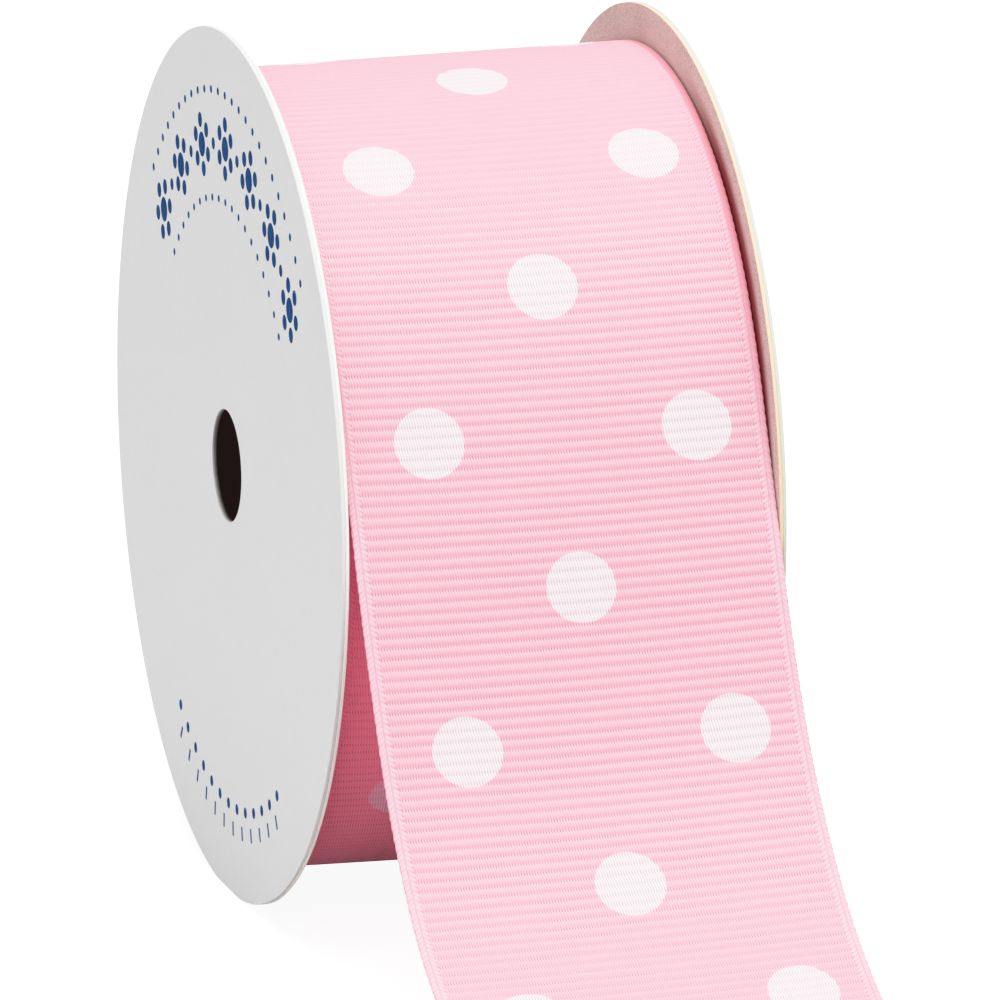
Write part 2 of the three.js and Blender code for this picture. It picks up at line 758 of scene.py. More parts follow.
@dataclass(frozen=True)
class CardFinish:
    """A face of card: its colour, how much its grain shows, and how glossy its coat is.

    A face can have painted shade: dark red, forward of the axis and near the ribbon, where the ribbon
    meets the card.
    """

    name: str
    colour: Colour
    fleck: Colour
    grain: float
    fleck_share: float
    roughness: float
    relief: float
    flange_shade: Colour | None = None
    flange_shade_radius: Span = (37.8, 36.1)
    flange_shade_forward: Span = (6.0, 23.0)
    gloss: float = 0.35
    fleck_fade: Span = (0.38, 0.68)
    cloud_size: float = 14.0
    cloud_share: float = 0.35
    cloud_fade: Span = (0.35, 0.7)

    def material(self, centre: Vector) -> bpy.types.Material:
        """Make the card face from places on the piece.

        Args:
            centre: The middle of the spool.

        Returns:
            The material.
        """
        net = Shader(self.name, self.roughness, self.gloss)
        where = net.place()
        fine = net.noise(where, self.grain, detail=4.0)
        flecks = net.ramp(fine, *self.fleck_fade, 0.0, self.fleck_share)
        clouds = net.noise(where, self.cloud_size)
        clouds = net.ramp(clouds, *self.cloud_fade, 0.0, self.fleck_share * self.cloud_share)
        colour = net.blend((flecks + clouds).least(1.0), self.colour, self.fleck)
        # Painted shade where the ribbon meets the card, forward of the axis.
        if self.flange_shade is not None:
            _, back, up = net.round_axis(centre)
            radius = (back ** 2.0 + up ** 2.0) ** 0.5
            shade_share = net.ramp(back * -1.0, *self.flange_shade_forward) * net.ramp(radius, *self.flange_shade_radius)
            colour = net.blend(shade_share, colour, self.flange_shade)
        return net.finish(colour, fine, self.relief)


@dataclass(frozen=True)
class CutEdgeFinish:
    """The cut rim of a ply, with fibres running round it."""

    name: str
    colour: Colour
    fibre: Colour
    roughness: float = 0.9
    gloss: float = 0.2
    squeeze: float = 9.0
    fibre_size: float = 0.7
    fibre_fade: Span = (0.35, 0.75)
    fibre_share: float = 0.5
    relief: float = 0.03 * MM

    def material(self) -> bpy.types.Material:
        """Make the rim from places on the piece, squeezed across the rim.

        Returns:
            The material.
        """
        net = Shader(self.name, self.roughness, self.gloss)
        x, y, z = net.parts(net.place())
        fibres = net.noise(net.xyz(x * self.squeeze, y, z), self.fibre_size, detail=4.0)
        share = net.ramp(fibres, *self.fibre_fade, 0.0, self.fibre_share)
        return net.finish(net.blend(share, self.colour, self.fibre), fibres, self.relief)


@dataclass(frozen=True)
class HoleEdgeFinish:
    """The hole's edge, grey at the face and dark further in: painted shade in the hole."""

    face: Colour = (0.42, 0.395, 0.385, 1.0)
    # Painted shade, near black deep in the hole.
    inside: Colour = (0.012, 0.010, 0.010, 1.0)
    roughness: float = 0.9
    gloss: float = 0.2
    jitter_size: float = 0.6
    shade_jitter: float = 0.1
    relief: float = 0.02 * MM

    def material(self, outside: float, inner: float) -> bpy.types.Material:
        """Make the edge, darker with its depth as painted shade.

        Args:
            outside: How far the card's outer face is from the middle, in metres.
            inner: How far its inner face is.

        Returns:
            The material.
        """
        net = Shader("hole_edge_shade", self.roughness, self.gloss)
        where = net.place()
        grain_and_shade_jitter = net.noise(where, self.jitter_size, detail=3.0)
        depth = abs(net.parts(where)[0]) + grain_and_shade_jitter * self.shade_jitter
        share = net.ramp(depth, outside / MM + self.shade_jitter / 2, inner / MM + self.shade_jitter)
        return net.finish(net.blend(share, self.face, self.inside), grain_and_shade_jitter, self.relief)


@dataclass(frozen=True)
class BoardFinish:
    """Dark board wound into a tube, with the helical seams of its strips."""

    colour: Colour = (0.030, 0.018, 0.013, 1.0)
    seam: Colour = (0.012, 0.007, 0.005, 1.0)
    # Painted light: a faint glow of its own, so the tube's bore is not quite black.
    painted_glow: Colour = (0.013, 0.0065, 0.007, 1.0)
    roughness: float = 0.95
    gloss: float = 0.2
    strip: float = 22.0
    seam_width: Span = (0.03, 0.0)
    fibre_size: float = 0.5
    fibre_share: float = 0.4
    relief: float = 0.05 * MM

    def material(self, centre: Vector) -> bpy.types.Material:
        """Make the board round the tube's own axis.

        Args:
            centre: The middle of the tube.

        Returns:
            The material.
        """
        net = Shader("wound_board", self.roughness, self.gloss)
        # Painted light: the board glows faintly of its own.
        net.glow(self.painted_glow)
        x, back, up = net.round_axis(centre)
        turn = net.math("ARCTAN2", back, up) / (2 * math.pi)
        fibres = net.noise(net.place(), self.fibre_size, detail=4.0)
        seam = net.ramp((x / self.strip + turn).zigzag(0.5), *self.seam_width)
        share = (seam + fibres * self.fibre_share).least(1.0)
        return net.finish(net.blend(share, self.colour, self.seam), fibres, self.relief)


@dataclass(frozen=True)
class InkFinish:
    """Navy ink printed on the coated card, a little uneven where it dried."""

    colour: Colour = (0.01161, 0.06125, 0.18782, 1.0)
    thin: Colour = (0.02315, 0.09759, 0.25415, 1.0)
    roughness: float = 0.85
    gloss: float = 0.05
    patch_size: float = 0.8
    patch_fade: Span = (0.45, 0.8)
    patch_share: float = 0.6

    def material(self) -> bpy.types.Material:
        """Make the ink.

        Returns:
            The material.
        """
        net = Shader("navy_ink", self.roughness, self.gloss)
        patches = net.noise(net.place(), self.patch_size, detail=3.0)
        share = net.ramp(patches, *self.patch_fade, 0.0, self.patch_share)
        return net.finish(net.blend(share, self.colour, self.thin))


GREY_COAT = CardFinish(
    "grey_coated_card", colour=(0.67, 0.67, 0.675, 1), fleck=(0.635, 0.635, 0.64, 1),
    grain=0.35, fleck_share=0.5, roughness=0.48, relief=0.002 * MM,
)
# The raw face carries painted shade near the ribbon.
RAW_FACE = CardFinish(
    "raw_grained_card", colour=(0.67, 0.60, 0.555, 1), fleck=(0.40, 0.33, 0.31, 1),
    grain=0.16, fleck_share=0.8, roughness=0.92, relief=0.02 * MM, flange_shade=(0.22, 0.027, 0.036, 1),
)
CREAM_EDGE = CutEdgeFinish("cream_cut_edge", (0.88, 0.57, 0.40, 1), (0.74, 0.47, 0.32, 1))
PALE_EDGE = CutEdgeFinish("pale_cut_edge", (0.545, 0.585, 0.47, 1), (0.47, 0.51, 0.40, 1))
WHITE_EDGE = CutEdgeFinish("white_cut_edge", (0.86, 0.85, 0.80, 1), (0.74, 0.72, 0.66, 1))
GREY_EDGE = CutEdgeFinish("grey_cut_edge", (0.66, 0.66, 0.655, 1), (0.60, 0.60, 0.59, 1))


@dataclass(frozen=True)
class RibbonPath:
    """The line of the printed face, across the axis, from its hidden start to its cut end.

    Places along it are measured from the top of the roll, positive towards the cut end.
    """

    axis_height: float
    thickness: float
    roll_radius: float = 35.42 * MM
    layer_step: float = 0.36 * MM
    sag: float = 0.9 * MM
    lift_angle: float = math.radians(56.7)
    hidden_angle: float = math.radians(10.0)
    flat_run: float = 24 * MM
    fine_step: float = 0.05 * MM

    # The loose end from the roll down. Each stretch bends evenly until the ribbon slopes this
    # many degrees forward of straight down.
    loose_end: tuple[tuple[float, float], ...] = (
        (9 * MM, 25.5), (16 * MM, 22.5), (12 * MM, 28.0), (16 * MM, 46.0), (8 * MM, 59.0),
    )

    @property
    def start_angle(self) -> float:
        """The angle of the hidden start, one turn and a little before the lift."""
        return self.lift_angle - self.hidden_angle - 2 * math.pi

    @property
    def lift_along(self) -> float:
        """The place along where the loose end leaves the roll."""
        return self.roll_radius * self.lift_angle

    def sag_at(self, angle: np.ndarray) -> np.ndarray:
        """How far the wound turns hang below a true circle, at an angle from straight up."""
        return self.sag * ((1 - np.cos(angle)) / 2) ** 2

    def radius_at(self, angle: np.ndarray) -> np.ndarray:
        """The printed face's radius on the roll.

        Args:
            angle: Angles from straight up, forward, up to the lift angle.

        Returns:
            The radius at each angle.
        """
        turns_back = (self.lift_angle - angle) / (2 * math.pi)
        return self.roll_radius - turns_back * self.layer_step + self.sag_at(angle)

    def wound(self) -> np.ndarray:
        """Points round the roll, from the hidden start to the lift.

        Returns:
            Rows of forward and up.
        """
        count = math.ceil((self.lift_angle - self.start_angle) * self.roll_radius / self.fine_step)
        angle = np.linspace(self.start_angle, self.lift_angle, count)
        radius = self.radius_at(angle)
        return np.column_stack([radius * np.sin(angle), radius * np.cos(angle)])

    def loose(self, root: np.ndarray) -> np.ndarray:
        """Points down the loose end, from the lift to the cut.

        Args:
            root: Where it leaves the roll.

        Returns:
            Rows of forward and up.
        """
        slope = math.pi / 2 - self.lift_angle
        place = root.copy()
        points = []

        def bend(length: float, end: float) -> None:
            """Walk a stretch that bends evenly to an end slope."""
            nonlocal slope, place
            steps = max(1, round(length / self.fine_step))
            half_turn = (end - slope) / steps / 2
            for _ in range(steps):
                slope += half_turn
                place = place + length / steps * np.array([math.sin(slope), -math.cos(slope)])
                slope += half_turn
                points.append(place)

        for length, end in self.loose_end:
            bend(length, math.radians(end))
        drop = place[1] + self.axis_height - self.thickness
        bend(drop / (1 - math.sin(slope)) * (math.pi / 2 - slope), math.pi / 2)
        bend(self.flat_run, math.pi / 2)
        return np.array(points)

    def walk(self) -> tuple[np.ndarray, np.ndarray, np.ndarray]:
        """Follow the whole ribbon.

        Returns:
            The place along, the points as forward and up, and each point's outward direction.
        """
        wound = self.wound()
        points = np.vstack([wound, self.loose(wound[-1])])
        steps = np.linalg.norm(np.diff(points, axis=0), axis=1)
        along = np.concatenate([[0.0], np.cumsum(steps)])
        top = np.argmin(np.hypot(points[:, 0], points[:, 1] - self.radius_at(np.array([0.0]))))
        along -= along[top]
        tangent = np.gradient(points, along, axis=0)
        tangent /= np.linalg.norm(tangent, axis=1)[:, None]
        outward = np.column_stack([-tangent[:, 1], tangent[:, 0]])
        return along, points, outward


@dataclass(frozen=True)
class Ribbon:
    """The last turn and the loose end, one cloth with its ribs, selvedges and stitches."""

    centre: Vector
    weave: Weave
    path: RibbonPath
    steps_per_rib: int = 8
    middle_columns: int = 12
    back_columns: int = 6
    edge_round: float = 0.12 * MM
    edge_rows: tuple[float, float] = (0.4 * MM, 0.75 * MM)
    edge_points: tuple[Span, ...] = ((0.3, 0.6), (0.7, 0.3))  # share of thickness, how printed
    line_width: float = 0.1 * MM
    crease: float = 58.0
    taper: float = 0.25 * MM
    taper_run: float = 22 * MM
    rib_depth: float = 0.075 * MM
    back_rib_depth: float = 0.05 * MM
    selvedge_relief: float = 0.26
    selvedge_fade: float = 0.12 * MM
    uneven_across: float = 60.0
    uneven_along: float = 0.43
    uneven_fade: Span = (0.25, 0.75)
    uneven_depth: Span = (0.8, 1.15)
    scallop: float = 0.05 * MM
    rim_width: float = 0.01 * MM
    stitch_depth: float = 0.03 * MM
    stitch_reach: float = 0.02 * MM
    hollow_below: float = 0.1
    swing: float = 0.0155
    swing_along: Span = (38 * MM, 68 * MM)
    twist: float = 0.5 * MM
    twist_along: Span = (64 * MM, 116 * MM)

    def section(self) -> np.ndarray:
        """Draw the cloth's cross-section once round.

        Returns:
            Rows of place across, depth below the printed face, and how printed it is.
        """
        half, band, line = self.weave.width / 2, self.weave.selvedge, self.line_width
        edge = half - np.array([self.edge_round, *self.edge_rows, band - line, band + line])
        middle = np.linspace(-edge[-1], edge[-1], self.middle_columns + 1)[1:-1]
        front = np.concatenate([-edge, middle, edge[::-1]])
        back = np.linspace(edge[0], -edge[0], self.back_columns + 1)
        thick = self.weave.thickness
        rows = [(x, 0.0, 1.0) for x in front]
        rows += [(half, share * thick, inked) for share, inked in self.edge_points]
        rows += [(x, thick, 0.0) for x in back]
        rows += [(-half, share * thick, inked) for share, inked in reversed(self.edge_points)]
        return np.array(rows)

    def flat_length(self) -> float:
        """The cloth's length before it was wound."""
        along, _, _ = self.path.walk()
        return float(along[-1] - along[0])

    def mesh(self) -> bpy.types.Mesh:
        """Lay the cross-section along the path, a row of points at each step of each rib.

        Returns:
            The smooth cloth, with what its relief and its material read.
        """
        along, points, outward = self.path.walk()
        across, depth, printed = self.section().T
        aside = across / (self.weave.width / 2)
        step = self.weave.rib_pitch / self.steps_per_rib
        first = math.ceil(along[0] / step)
        last = math.floor((along[-1] - self.weave.rib_bow) / step)
        rows = np.arange(first, last + 1)[:, None] * step
        flat = rows + self.weave.bow(across)
        turn = self.swing * ease(rows, *self.swing_along)
        place = flat - across * turn

        forward, up = (np.interp(place, along, line) for line in points.T)
        out_forward, out_up = (np.interp(place, along, line) for line in outward.T)
        lift = self.path.lift_along
        taper = self.taper * aside * (1 - ease(place, lift, lift + self.taper_run))
        start, end = self.twist_along
        stretch = np.clip((rows - start) / (end - start), 0, 1)
        twist = self.twist * np.sin(math.pi * stretch) ** 2 * aside
        rise = taper + twist - depth
        vertices = np.stack([
            self.centre.x + across + np.cumsum(turn, axis=0) * step,
            self.centre.y - (forward + out_forward * rise),
            self.centre.z + (up + out_up * rise),
        ], axis=-1)

        rings, ring = place.shape
        faces = ring_faces(rings, ring)[:-1, :, [0, 3, 2, 1]].reshape(-1, 4).tolist()
        numbers = np.arange(rings * ring).reshape(rings, ring)
        caps = [numbers[0].tolist(), numbers[-1, ::-1].tolist()]
        mesh = smooth_mesh("ribbon", vertices, faces + caps, self.crease)
        for name, values in (("row", rows), ("across", across), ("printed", printed)):
            whole = np.broadcast_to(values, place.shape).astype(np.float32).ravel()
            mesh.attributes.new(name, "FLOAT", "POINT").data.foreach_set("value", whole)
        way = np.stack([np.zeros_like(out_up), -out_forward, out_up], axis=-1).ravel()
        mesh.attributes.new("outward", "FLOAT_VECTOR", "POINT").data.foreach_set("vector", way)
        corners = np.zeros(len(mesh.loops), dtype=np.int32)
        mesh.loops.foreach_get("vertex_index", corners)
        cloth_map = np.stack([np.broadcast_to(across, flat.shape), flat], axis=-1).reshape(-1, 2)
        mesh.uv_layers.new(name="cloth").data.foreach_set("uv", cloth_map[corners].ravel())
        return mesh

    def relief(self, material: bpy.types.Material) -> Relief:
        """Write the tree that raises the ribs, scallops the selvedges and sinks the stitches.

        Args:
            material: The cloth's finish.

        Returns:
            The tree.
        """
        net = Relief("grosgrain_ribs")
        pitch = net.size("Rib Pitch", self.weave.rib_pitch)
        depth = net.size("Rib Depth", self.rib_depth)
        back_depth = net.size("Back Rib Depth", self.back_rib_depth)
        half = net.size("Half Width", self.weave.width / 2)
        band = net.size("Selvedge Width", self.weave.selvedge)
        fade = net.size("Selvedge Fade", self.selvedge_fade)
        band_relief = net.size("Selvedge Relief", self.selvedge_relief)
        scallop = net.size("Edge Scallop", self.scallop)
        stitch_depth = net.size("Stitch Depth", self.stitch_depth)

        row, across, printed = net.read("row"), net.read("across"), net.read("printed")
        away = abs(across)
        line = half - band
        phase = row / pitch
        crest = abs(net.math("COSINE", phase * math.pi))
        edge = net.ramp(away, line - fade, line + fade)
        rib = net.math("FLOOR", phase + 0.5)
        uneven = net.noise(net.xyz(across * self.uneven_across, rib * self.uneven_along), 1.0, detail=1.0)
        uneven = net.ramp(uneven, *self.uneven_fade, *self.uneven_depth)
        share = (edge * band_relief + (1.0 - edge)) * uneven
        hollow = (1.0 - crest) * share

        # The stitches sink single points, in the hollows along the selvedge's inner line.
        near_line = abs(away - (line - self.line_width)) < self.stitch_reach
        stitch = near_line * (crest < self.hollow_below)
        front = (stitch * stitch_depth + hollow * depth) * printed
        back = hollow * back_depth * (1.0 - printed)
        shift = net.vector("SCALE", net.read("outward", "FLOAT_VECTOR"), back - front)
        rim = away > half - self.rim_width
        tuck = (1.0 - crest) * (rim * scallop) * (net.math("SIGN", across) * -1.0)
        shift = net.vector("ADD", shift, net.xyz(tuck))
        inputs = {"Geometry": net.start, "Offset": shift}
        return net.finish(net.add("GeometryNodeSetPosition", inputs), material)

    def build(self, material: bpy.types.Material, lies_on: bpy.types.Object) -> bpy.types.Object:
        """Args:
            material: Its finish.
            lies_on: Not used.

        Returns:
            The piece.
        """
        piece = self.relief(material).run(self.mesh(), "ribbon_last_turn_and_loose_end")
        fit(piece, Slot.RIBBON, "ribbon_tail")
        flat = (self.weave.width, self.flat_length())
        log.info("loose cloth: %.1f mm long", flat[1] / MM)
        return piece


@dataclass(frozen=True)
class WoundTurns:
    """The turns under the last one: one long strip of the same ribbon, wound on the core."""

    centre: Vector
    weave: Weave
    path: RibbonPath
    core_radius: float
    taper: float
    steps_per_turn: int = 96
    air: float = 0.02 * MM

    def turns(self) -> float:
        """How many turns fit between the core and the last turn."""
        room = self.end_radius() - self.weave.thickness - self.core_radius
        return room / self.path.layer_step

    def end_radius(self) -> float:
        """The outer radius where the strip runs into the last turn, less its sag."""
        angle = np.array([self.path.start_angle])
        return float(self.path.radius_at(angle)[0] - self.path.sag_at(angle)[0])

    def flat_length(self) -> float:
        """The strip's length before it was wound."""
        mean = (self.end_radius() + self.core_radius) / 2
        return 2 * math.pi * mean * self.turns()

    def winding(self, material: bpy.types.Material) -> Relief:
        """Write the tree that winds a straight strip into a spiral.

        Args:
            material: The cloth's finish.

        Returns:
            The tree.
        """
        net = Relief("wound_strip")
        centre = net.size("Centre", self.centre.copy())
        turns = net.size("Turns", self.turns())
        end_radius = net.size("End Radius", self.end_radius())
        end_angle = net.size("End Angle", self.path.start_angle)
        step = net.size("Layer Step", self.path.layer_step)
        thickness = net.size("Thickness", self.weave.thickness - self.air)
        width = net.size("Width", self.weave.width)
        sag = net.size("Sag", self.path.sag)
        taper = net.size("Taper", self.taper)
        stations = net.size("Stations", math.ceil(self.turns() * self.steps_per_turn) + 1)

        # The strip is a unit block, long in X, wide in Y and thick in Z.
        shape = {"Size": (1.0, 1.0, 1.0), "Vertices X": stations, "Vertices Y": 3, "Vertices Z": 2}
        strip = net.add("GeometryNodeMeshCube", shape)
        x, y, z = net.parts(net.add("GeometryNodeInputPosition"))
        left = (0.5 - x) * turns
        angle = end_angle - left * (2 * math.pi)
        upright = net.math("COSINE", angle)
        share = x + 0.5
        low = ((1.0 - upright) * 0.5) ** 2.0 * sag * share
        lean = taper * share * (y * 2.0)
        radius = (end_radius - left * step) + (low + lean) - (0.5 - z) * thickness
        place = net.xyz(y * width, net.math("SINE", angle) * radius * -1.0, upright * radius)
        place = net.vector("ADD", place, centre)
        wound = net.add("GeometryNodeSetPosition", {"Geometry": strip, "Position": place})
        return net.finish(wound, material)

    def build(self, material: bpy.types.Material) -> bpy.types.Object:
        """Args:
            material: Its finish.

        Returns:
            The piece.
        """
        empty = bpy.data.meshes.new("strip")
        piece = self.winding(material).run(empty, "ribbon_wound_turns")
        fit(piece, Slot.RIBBON, "ribbon_roll")
        flat = (self.weave.width, self.flat_length())
        log.info("wound strip: %.1f turns, %.2f m long", self.turns(), flat[1])
        return piece


@dataclass(frozen=True)
class CardFlange:
    """A die-cut card disc of two plies, with its spindle hole and the small flat it stands on."""

    side: Side
    centre: Vector
    inner_face: float
    thickness: float
    radius: float
    standing: float
    hole_radius: float = 5 * MM
    segments: int = 320
    rings: tuple[float, ...] = (9 * MM, 14 * MM, 20 * MM, 26 * MM, 32 * MM, 36 * MM)
    edge_round: float = 0.05 * MM
    crease: float = 40.0
    rim_wobble: float = 0.035 * MM
    wobble_from: float = 30 * MM
    ply_wobble: float = 0.03 * MM
    ply_wobble_from: float = 36.5 * MM
    outer_splay: float = 0.08 * MM
    inner_splay: float = 0.05 * MM
    splay_from: float = 36.2 * MM
    glue_line: float = 0.004 * MM
    outer_seed: float = 1.0
    inner_seed: float = 4.0
    glue_seed: float = 7.0

    def wave(self, angle: np.ndarray, seed: float) -> np.ndarray:
        """The slight unevenness of a die-cut edge.

        Args:
            angle: Angles round the disc.
            seed: Shifts the pattern.

        Returns:
            Values about -1 to 1.
        """
        slow = 0.5 * np.sin(3 * angle + seed) + 0.3 * np.sin(7 * angle + 2.1 * seed)
        return slow + 0.2 * np.sin(23 * angle + 3.7 * seed)

    def ply(self, outer: bool, face: bpy.types.Material, rim: bpy.types.Material,
            hole_edge: bpy.types.Material) -> bpy.types.Object:
        """Build one ply as a ring of sections round the axis.

        Args:
            outer: Whether it is the ply away from the ribbon.
            face: The finish of the face that shows.
            rim: The finish of its cut rim.
            hole_edge: The finish of the hole's edge.

        Returns:
            The piece.
        """
        middle = self.inner_face + self.thickness / 2
        low, high = self.inner_face, middle - self.glue_line
        if outer:
            low, high = middle + self.glue_line, self.inner_face + self.thickness
        soft, hole, radius = self.edge_round, self.hole_radius, self.radius
        spread = [hole + soft, *self.rings, radius - soft]
        profile = [(r, low) for r in spread] + [(radius, low + soft), (radius, high - soft)]
        profile += [(r, high) for r in reversed(spread)] + [(hole, high - soft), (hole, low + soft)]
        radii, depths = np.array(profile).T

        angle = round_turn(self.segments)
        seed = (self.outer_seed if outer else self.inner_seed) + self.side.value
        glued = np.abs(depths - middle) < soft * 1.5
        near_rim = np.clip((radii - self.wobble_from) / (radius - self.wobble_from), 0, 1) ** 2
        grown = radii - np.abs(self.wave(angle, seed)) * self.rim_wobble * near_rim
        slipping = glued & (radii > self.ply_wobble_from)
        slide = self.wave(2 * angle, self.glue_seed + self.side.value) * self.ply_wobble * slipping
        out_to_rim = np.clip((radii - self.splay_from) / (radius - self.splay_from), 0, 1)
        splay = np.where(depths > middle, self.outer_splay, -self.inner_splay) * out_to_rim
        splay[glued] = 0.0
        vertices = np.stack([
            self.side.value * (depths + splay + slide) + self.centre.x,
            grown * np.sin(angle) + self.centre.y,
            np.maximum(grown * np.cos(angle), -self.standing) + self.centre.z,
        ], axis=-1)

        faces = ring_faces(self.segments, len(profile))
        if self.side is Side.FAR:
            faces = faces[..., ::-1]
        name = f"{self.side.name.lower()}_flange_{'outer' if outer else 'inner'}_ply"
        mesh = smooth_mesh(name, vertices, faces.reshape(-1, 4).tolist(), self.crease)
        for material in (face, rim, hole_edge):
            mesh.materials.append(material)
        flat = len(spread) - 1
        slots = np.array([0] * flat + [1] * 3 + [0] * flat + [2] * 3, dtype=np.int32)
        mesh.polygons.foreach_set("material_index", np.tile(slots, self.segments))
        return new_piece(name, mesh)

    def build(self, faces: tuple[bpy.types.Material, bpy.types.Material],
              rims: tuple[bpy.types.Material, bpy.types.Material],
              hole_edge: bpy.types.Material) -> None:
        """Make both plies and fit them.

        Args:
            faces: The finishes of the outer and the inner face.
            rims: The finishes of the outer and the inner ply's cut rims.
            hole_edge: The finish of the hole's edge.
        """
        node = f"{self.side.name.lower()}_flange"
        slot = Slot.COATED_CARD if self.side is Side.NEAR else Slot.RAW_CARD
        for outer, face, rim in zip((True, False), faces, rims):
            fit(self.ply(outer, face, rim, hole_edge), slot, node)


class Motif(Enum):
    """What one mark of the printed border is."""

    ROSETTE = "rosette"
    DOT = "dot"
    DASH = "dash"


@dataclass(frozen=True)
class PrintedArc:
    """One row of marks on the coated face, in an arc about the top or the bottom of the disc."""

    name: str
    motif: Motif
    radius: float
    marks_round: int
    reach: float
    size: float
    at_top: bool = True
    turn: float = 0.0


@dataclass(frozen=True)
class FlangePrint:
    """A generic navy print on the coated face: rosettes of dots above, and a fine arc below."""

    centre: Vector
    face: float
    ink_height: float = 0.014 * MM
    petals: int = 6
    petal_gap: float = 1.95
    petal_share: float = 0.62
    dash_shape: float = 3.2
    arcs: tuple[PrintedArc, ...] = (
        PrintedArc("Rosettes", Motif.ROSETTE, 28.6 * MM, 22, 52.0, 1.12 * MM),
        PrintedArc("Dots Between", Motif.DOT, 28.6 * MM, 22, 52.0, 0.55 * MM, turn=0.5),
        PrintedArc("Upper Dots", Motif.DOT, 33.4 * MM, 88, 52.0, 0.36 * MM),
        PrintedArc("Inner Dots", Motif.DOT, 23.8 * MM, 66, 52.0, 0.33 * MM),
        PrintedArc("Lower Dots", Motif.DOT, 30.9 * MM, 66, 33.0, 0.5 * MM, at_top=False),
        PrintedArc("Lower Dashes", Motif.DASH, 32.9 * MM, 66, 33.0, 0.2 * MM, at_top=False, turn=0.5),
    )

    def mark(self, net: Relief, arc: PrintedArc, height: Value) -> Value:
        """Draw one mark of an arc.

        Args:
            net: The tree.
            arc: The arc that it is for.
            height: How thick the ink is.

        Returns:
            The mark, with X pointing outwards.
        """
        size = net.size(f"{arc.name} Size", arc.size)
        if arc.motif is Motif.DASH:
            box = net.xyz(size * (self.dash_shape * 2), size * 2.0, height)
            return net.value("GeometryNodeMeshCube", {"Size": box})
        dot = net.value("GeometryNodeMeshCylinder", {"Vertices": 24, "Radius": size, "Depth": height})
        if arc.motif is Motif.DOT:
            return dot
        spread = {"Vertices": self.petals, "Radius": size * self.petal_gap}
        circle = net.add("GeometryNodeMeshCircle", spread)
        petal = {"Vertices": 16, "Radius": size * self.petal_share, "Depth": height}
        petal = net.add("GeometryNodeMeshCylinder", petal)
        petals = net.add("GeometryNodeInstanceOnPoints", {"Points": circle, "Instance": petal})
        both = net.add("GeometryNodeJoinGeometry")
        net.feed(both.inputs[0], dot)
        net.feed(both.inputs[0], petals)
        return Value(net, both.outputs[0])

    def row(self, net: Relief, arc: PrintedArc, height: Value) -> Value:
        """Repeat a mark along its arc, each copy facing outwards.

        Args:
            net: The tree.
            arc: The arc.
            height: How thick the ink is.

        Returns:
            The copies.
        """
        count = net.size(f"{arc.name} Round", arc.marks_round)
        radius = net.size(f"{arc.name} Radius", arc.radius)
        reach = net.size(f"{arc.name} Reach", math.radians(arc.reach))
        circle = net.add("GeometryNodeMeshCircle", {"Vertices": count, "Radius": radius})
        turned = net.xyz(0.0, 0.0, arc.turn * 2 * math.pi / count)
        circle = net.add("GeometryNodeTransform", {"Geometry": circle, "Rotation": turned})
        place = net.value("GeometryNodeInputPosition")
        up, side, _ = net.parts(place)
        if not arc.at_top:
            up = up * -1.0
        kept = abs(net.math("ARCTAN2", side, up)) < reach
        facing = net.value("FunctionNodeAlignRotationToVector", {"Vector": place}, axis="X")
        mark = self.mark(net, arc, height)
        inputs = {"Points": circle, "Selection": kept, "Instance": mark, "Rotation": facing}
        return net.value("GeometryNodeInstanceOnPoints", inputs)

    def print_tree(self, ink: bpy.types.Material) -> Relief:
        """Write the tree that draws the print flat and lays it on the face.

        Args:
            ink: The ink.

        Returns:
            The tree.
        """
        net = Relief("printed_arcs")
        height = net.size("Ink Height", self.ink_height)
        whole = net.add("GeometryNodeJoinGeometry")
        for arc in self.arcs:
            net.feed(whole.inputs[0], self.row(net, arc, height))
        middle = net.size("Middle", Vector((-self.face, self.centre.y, self.centre.z)))
        inputs = {"Geometry": whole, "Translation": middle, "Rotation": (0.0, -math.pi / 2, 0.0)}
        return net.finish(net.add("GeometryNodeTransform", inputs), ink)

    def build(self, ink: bpy.types.Material) -> bpy.types.Object:
        """Print the face.

        Args:
            ink: The ink.

        Returns:
            The piece.
        """
        piece = self.print_tree(ink).run(bpy.data.meshes.new("print"), "near_flange_print")
        fit(piece, Slot.COATED_CARD)
        return piece


@dataclass(frozen=True)
class CoreTube:
    """The board tube that carries both flanges."""

    centre: Vector
    length: float
    outer_radius: float
    wall: float = 1.0 * MM
    segments: int = 96
    edge_round: float = 0.12 * MM
    rings: int = 12
    crease: float = 50.0

    def build(self, material: bpy.types.Material) -> bpy.types.Object:
        """Make the tube with its rounded ends.

        Args:
            material: Its finish.

        Returns:
            The piece.
        """
        half, soft = self.length / 2, self.edge_round
        outer, inner = self.outer_radius, self.outer_radius - self.wall
        run = np.linspace(-half + soft, half - soft, self.rings)
        profile = [(outer, x) for x in run] + [(outer - soft, half), (inner + soft, half)]
        profile += [(inner, x) for x in run[::-1]] + [(inner + soft, -half), (outer - soft, -half)]
        radii, x = np.array(profile).T
        angle = round_turn(self.segments)
        vertices = np.stack([
            np.broadcast_to(x, (self.segments, len(x))) + self.centre.x,
            radii * np.sin(angle) + self.centre.y,
            radii * np.cos(angle) + self.centre.z,
        ], axis=-1)
        faces = ring_faces(self.segments, len(x)).reshape(-1, 4).tolist()
        mesh = smooth_mesh("core_board_tube", vertices, faces, self.crease)
        mesh.materials.append(material)
        piece = new_piece("core_board_tube", mesh)
        fit(piece, Slot.CORE_BOARD, "core_tube")
        return piece


